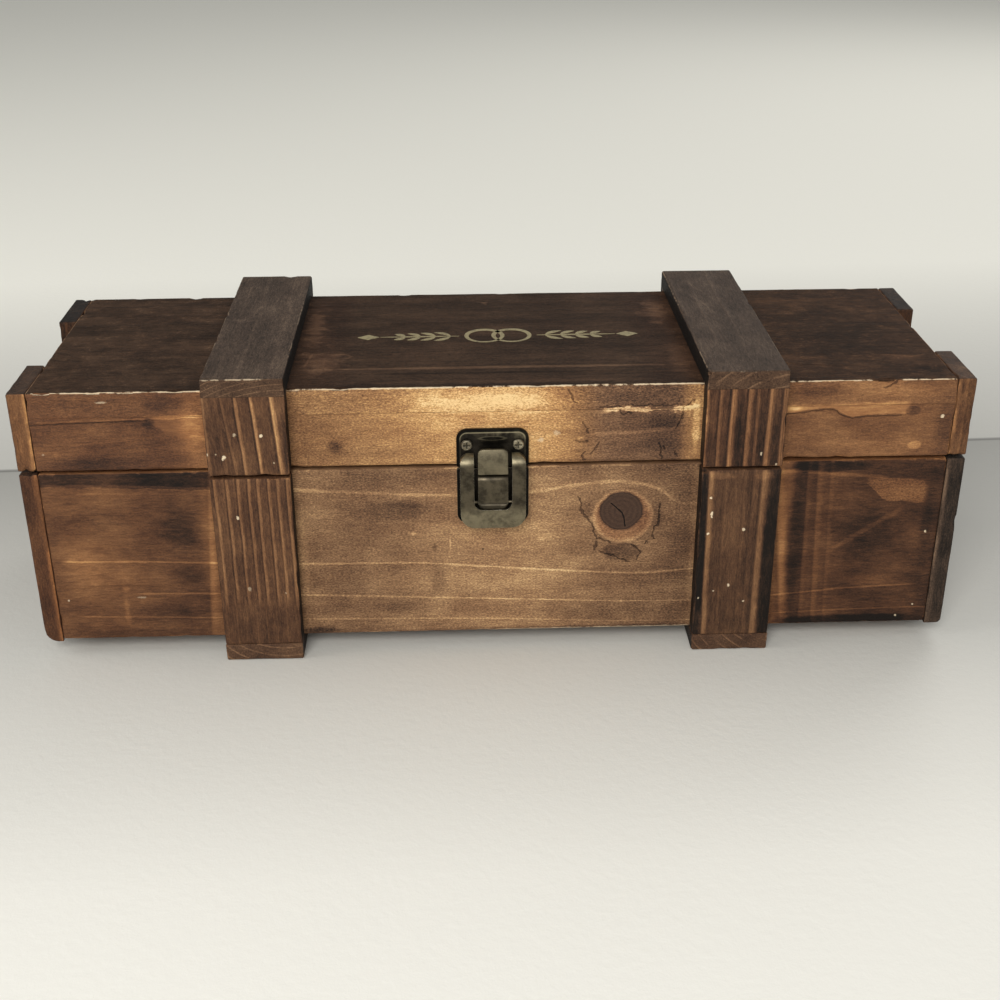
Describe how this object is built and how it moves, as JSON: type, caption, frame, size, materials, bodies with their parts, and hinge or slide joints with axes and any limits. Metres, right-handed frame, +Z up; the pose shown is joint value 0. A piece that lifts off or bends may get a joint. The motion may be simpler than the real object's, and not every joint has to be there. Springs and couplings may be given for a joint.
{
  "type": "wooden wine box",
  "caption": "Long wooden box with a hinged lid, wrap-round bands, end battens and a draw latch, sized for one bottle lying down.",
  "frame": {"origin": "centre of the whole box, on the surface that it stands on", "axes": "+X to the right along the box, +Y to the back, towards the hinges, +Z up; the latch faces -Y"},
  "size_m": [0.356, 0.129, 0.1178],
  "materials": {
    "base_wood": "scorched and oiled softwood, satin",
    "lid_wood": "scorched and oiled softwood, satin",
    "top_wood": "deeply scorched softwood, satin",
    "band_wood": "scorched softwood, brushed, pale worn edges",
    "batten_wood": "scorched softwood, satin",
    "latch_metal": "antique bronze plate, brushed",
    "hinge_metal": "antique bronze plate, dull",
    "screw_metal": "antique bronze plate"
  },
  "bodies": {
    "base": {"base_front_board": "base_wood", "base_back_board": "base_wood", "base_left_end": "base_wood", "base_right_end": "base_wood", "base_bottom_board": "base_wood", "base_left_front_batten": "batten_wood", "base_left_back_batten": "batten_wood", "base_right_front_batten": "batten_wood", "base_right_back_batten": "batten_wood", "base_left_front_strip": "band_wood", "base_left_back_strip": "band_wood", "left_bottom_strip": "band_wood", "base_right_front_strip": "band_wood", "base_right_back_strip": "band_wood", "right_bottom_strip": "band_wood", "hinge_left_base_leaf": "hinge_metal", "hinge_right_base_leaf": "hinge_metal", "hinge_left_pin": "hinge_metal", "hinge_right_pin": "hinge_metal", "hinge_base_screws": "screw_metal", "latch_base_plate": "latch_metal", "latch_base_screws": "screw_metal", "latch_crank_pin": "latch_metal"},
    "lid": {"lid_front_board": "lid_wood", "lid_back_board": "lid_wood", "lid_left_end": "lid_wood", "lid_right_end": "lid_wood", "lid_top_board": "top_wood", "lid_left_front_batten": "batten_wood", "lid_left_back_batten": "batten_wood", "lid_right_front_batten": "batten_wood", "lid_right_back_batten": "batten_wood", "lid_left_front_strip": "band_wood", "lid_left_back_strip": "band_wood", "left_top_strip": "band_wood", "lid_right_front_strip": "band_wood", "lid_right_back_strip": "band_wood", "right_top_strip": "band_wood", "hinge_left_lid_leaf": "hinge_metal", "hinge_right_lid_leaf": "hinge_metal", "hinge_lid_screws": "screw_metal", "latch_keeper": "latch_metal", "latch_keeper_screws": "screw_metal"},
    "crank": {"latch_crank": "latch_metal"},
    "ring": {"latch_ring": "latch_metal", "latch_ring_pins": "latch_metal"}
  },
  "joints": [
    {"name": "lid_hinge", "type": "hinge", "parent": "base", "child": "lid", "pos_m": [0, 0.06235, 0.0791], "axis": [-1, 0, 0], "range_deg": [0, 180]},
    {"name": "latch_crank_pivot", "type": "hinge", "parent": "base", "child": "crank", "pos_m": [-0.0015, -0.06175, 0.0752], "axis": [-1, 0, 0], "range_deg": [0, 85]},
    {"name": "latch_ring_pivot", "type": "hinge", "parent": "crank", "child": "ring", "pos_m": [-0.0015, -0.0631, 0.0667], "axis": [-1, 0, 0], "range_deg": [-60, 0]}
  ],
  "couplings": [
    {"joint": "latch_ring_pivot", "follows": "latch_crank_pivot", "ratio": -0.7}
  ]
}
